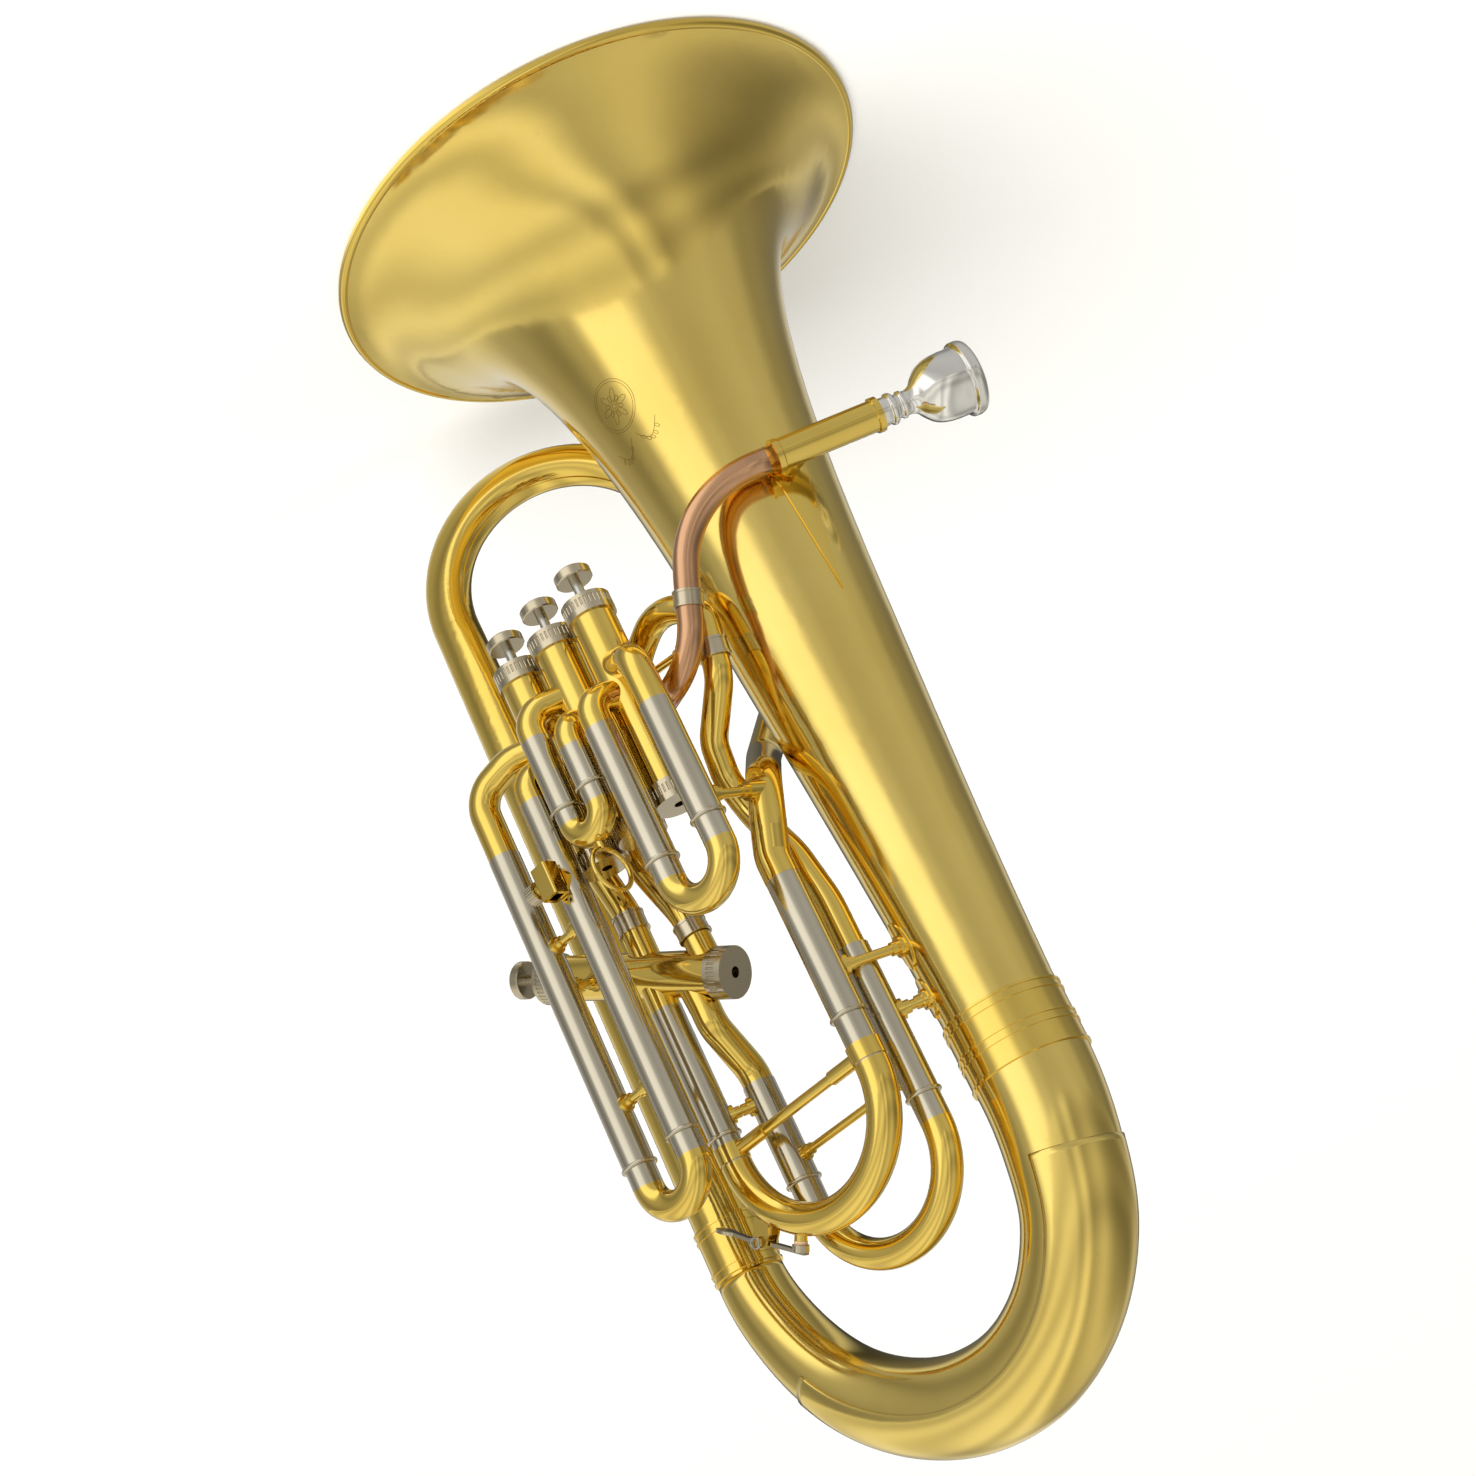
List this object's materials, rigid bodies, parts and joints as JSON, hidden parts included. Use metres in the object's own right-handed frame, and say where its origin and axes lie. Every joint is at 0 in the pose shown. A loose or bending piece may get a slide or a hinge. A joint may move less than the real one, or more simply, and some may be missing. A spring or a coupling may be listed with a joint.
{
  "type": "euphonium",
  "caption": "Conical brass wind instrument with a flared bell, piston valves, pull-out tuning slides, water key and cup mouthpiece.",
  "frame": {"origin": "centre of the bell mouth, on the surface the bell rim stands on", "axes": "+Z along the bell axis from the mouth towards the bottom bow, +X from the bell towards the outer branch, -Y towards the side the valves are on; the instrument stands bell down"},
  "size_m": [0.3691, 0.29, 0.6503],
  "materials": {
    "lacquered_brass": "clear lacquer over polished yellow brass",
    "nickel_silver": "polished nickel silver, slightly warm",
    "rose_brass": "clear lacquer over rose brass",
    "silver_plate": "polished silver plate",
    "spring_wire": "bright spring wire",
    "felt": "pressed felt",
    "cork": "natural cork"
  },
  "bodies": {
    "horn": {"back_branch": "lacquered_brass", "bell": "lacquered_brass", "bell_feet": "lacquered_brass", "body_braces": "lacquered_brass", "bottom_bow": "lacquered_brass", "bow_ferrules": "lacquered_brass", "bow_guard": "lacquered_brass", "cap_felts": "felt", "first_slide_outer_tubes": "nickel_silver", "fourth_loop_arch": "lacquered_brass", "fourth_loop_s_tube": "lacquered_brass", "fourth_slide_outer_tubes": "nickel_silver", "joint_ferrules": "nickel_silver", "leadpipe": "rose_brass", "lyre_box": "lacquered_brass", "main_slide_outer_tubes": "nickel_silver", "mouthpiece_receiver": "lacquered_brass", "outer_branch": "lacquered_brass", "rim_wire": "lacquered_brass", "second_slide_outer_tubes": "nickel_silver", "third_slide_outer_tubes": "nickel_silver", "top_bow": "lacquered_brass", "valve_bottom_caps": "nickel_silver", "valve_casing_1": "lacquered_brass", "valve_casing_2": "lacquered_brass", "valve_casing_3": "lacquered_brass", "valve_casing_4": "lacquered_brass", "valve_knuckles": "lacquered_brass", "valve_link_tube": "lacquered_brass", "valve_spring_1": "spring_wire", "valve_spring_2": "spring_wire", "valve_spring_3": "spring_wire", "valve_spring_4": "spring_wire", "valve_top_caps": "nickel_silver"},
    "valve_1": {"piston_1": "nickel_silver", "finger_button_1": "nickel_silver"},
    "valve_2": {"piston_2": "nickel_silver", "finger_button_2": "nickel_silver"},
    "valve_3": {"piston_3": "nickel_silver", "finger_button_3": "nickel_silver"},
    "valve_4": {"piston_4": "nickel_silver", "finger_button_4": "nickel_silver"},
    "main_slide": {"main_slide_legs": "nickel_silver", "main_slide_bow": "lacquered_brass", "main_slide_brace": "lacquered_brass", "water_key_saddle": "lacquered_brass", "water_key_spring": "spring_wire"},
    "water_key": {"water_key_lever": "nickel_silver", "water_key_cork": "cork"},
    "first_slide": {"first_slide_legs": "nickel_silver", "first_slide_bow": "lacquered_brass"},
    "second_slide": {"second_slide_legs": "nickel_silver", "second_slide_bow": "lacquered_brass", "slide_pull_ring": "lacquered_brass"},
    "third_slide": {"third_slide_legs": "nickel_silver", "third_slide_bow": "lacquered_brass"},
    "fourth_slide": {"fourth_slide_legs": "nickel_silver", "fourth_slide_bow": "lacquered_brass"},
    "mouthpiece": {"mouthpiece": "silver_plate"},
    "lyre_screw": {"lyre_screw": "nickel_silver"}
  },
  "joints": [
    {"name": "valve_1_press", "type": "slide", "parent": "horn", "child": "valve_1", "axis": [0, 0, 1], "range_m": [0, 0.0113], "stiffness_N_per_m": 110, "springref_m": -0.03, "deforming": ["valve_spring_1"]},
    {"name": "valve_2_press", "type": "slide", "parent": "horn", "child": "valve_2", "axis": [0, 0, 1], "range_m": [0, 0.0113], "stiffness_N_per_m": 110, "springref_m": -0.03, "deforming": ["valve_spring_2"]},
    {"name": "valve_3_press", "type": "slide", "parent": "horn", "child": "valve_3", "axis": [0, 0, 1], "range_m": [0, 0.0113], "stiffness_N_per_m": 110, "springref_m": -0.03, "deforming": ["valve_spring_3"]},
    {"name": "valve_4_press", "type": "slide", "parent": "horn", "child": "valve_4", "axis": [-0.868, 0.059, 0.493], "range_m": [0, 0.0113], "stiffness_N_per_m": 110, "springref_m": -0.03, "deforming": ["valve_spring_4"]},
    {"name": "main_slide_pull", "type": "slide", "parent": "horn", "child": "main_slide", "axis": [0, 0, 1], "range_m": [0, 0.05]},
    {"name": "first_slide_pull", "type": "slide", "parent": "horn", "child": "first_slide", "axis": [0, 0, 1], "range_m": [0, 0.045]},
    {"name": "second_slide_pull", "type": "slide", "parent": "horn", "child": "second_slide", "axis": [0, 0, 1], "range_m": [0, 0.014]},
    {"name": "third_slide_pull", "type": "slide", "parent": "horn", "child": "third_slide", "axis": [0, 0, 1], "range_m": [0, 0.11]},
    {"name": "fourth_slide_pull", "type": "slide", "parent": "horn", "child": "fourth_slide", "axis": [0, 0, 1], "range_m": [0, 0.04]},
    {"name": "water_key_press", "type": "hinge", "parent": "main_slide", "child": "water_key", "pos_m": [0.137, -0.057, 0.5213], "axis": [0, 1, 0], "range_deg": [0, 12], "stiffness_Nm_per_rad": 0.03, "springref_deg": -34.38},
    {"name": "mouthpiece_pull", "type": "slide", "parent": "horn", "child": "mouthpiece", "axis": [-0.6703, 0.7404, -0.05], "range_m": [0, 0.024]},
    {"name": "lyre_screw_turn", "type": "hinge", "parent": "horn", "child": "lyre_screw", "pos_m": [0.1385, -0.104, 0.331], "axis": [1, 0, 0], "range_deg": [0, 270]}
  ]
}
